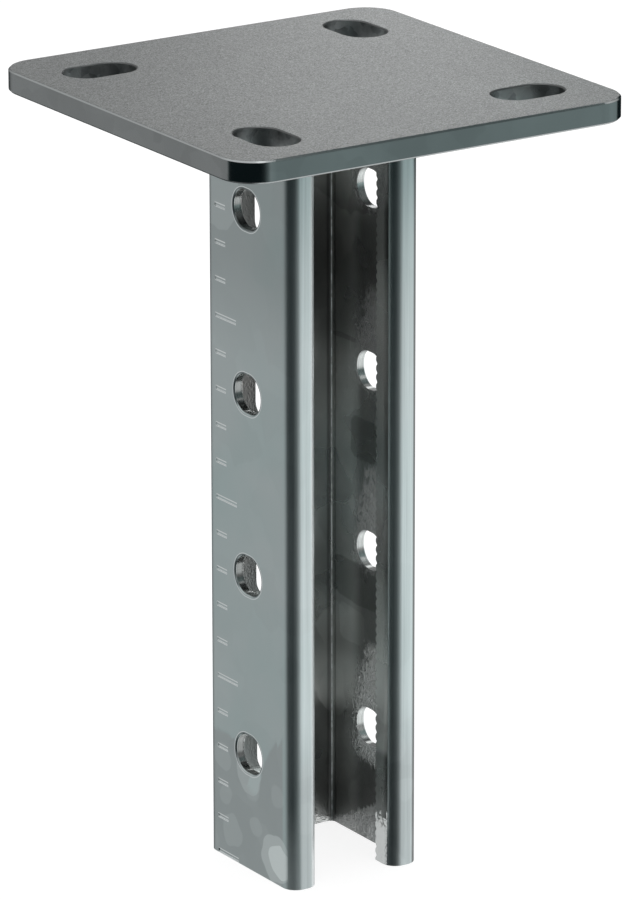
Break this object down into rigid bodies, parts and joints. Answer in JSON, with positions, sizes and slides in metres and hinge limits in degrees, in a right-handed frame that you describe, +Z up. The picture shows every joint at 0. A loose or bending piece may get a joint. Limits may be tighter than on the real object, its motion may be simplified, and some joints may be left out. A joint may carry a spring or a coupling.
{
  "type": "strut ceiling hanger",
  "caption": "Ceiling hanger: a slotted square head plate with a serrated, perforated C-section strut channel welded square to it and hanging down.",
  "frame": {"origin": "centre of the head plate's upper face, the face that meets the ceiling", "axes": "+Z up out of the ceiling face, the channel hangs towards -Z; the channel's open, lipped side faces -Y and its slotted back +Y; +X runs across the channel, with the ruler marks on the -X wall"},
  "size_m": [0.12, 0.12, 0.214],
  "materials": {
    "plate_steel": "galvanised, fine sandy grain, satin",
    "channel_steel": "galvanised, smooth, faint cloudy patches, satin",
    "weld_metal": "galvanised fillet weld, rippled, satin"
  },
  "bodies": {
    "root": {"head_plate": "plate_steel", "strut_channel": "channel_steel", "weld_left": "weld_metal", "weld_right": "weld_metal", "weld_back": "weld_metal"}
  },
  "joints": []
}
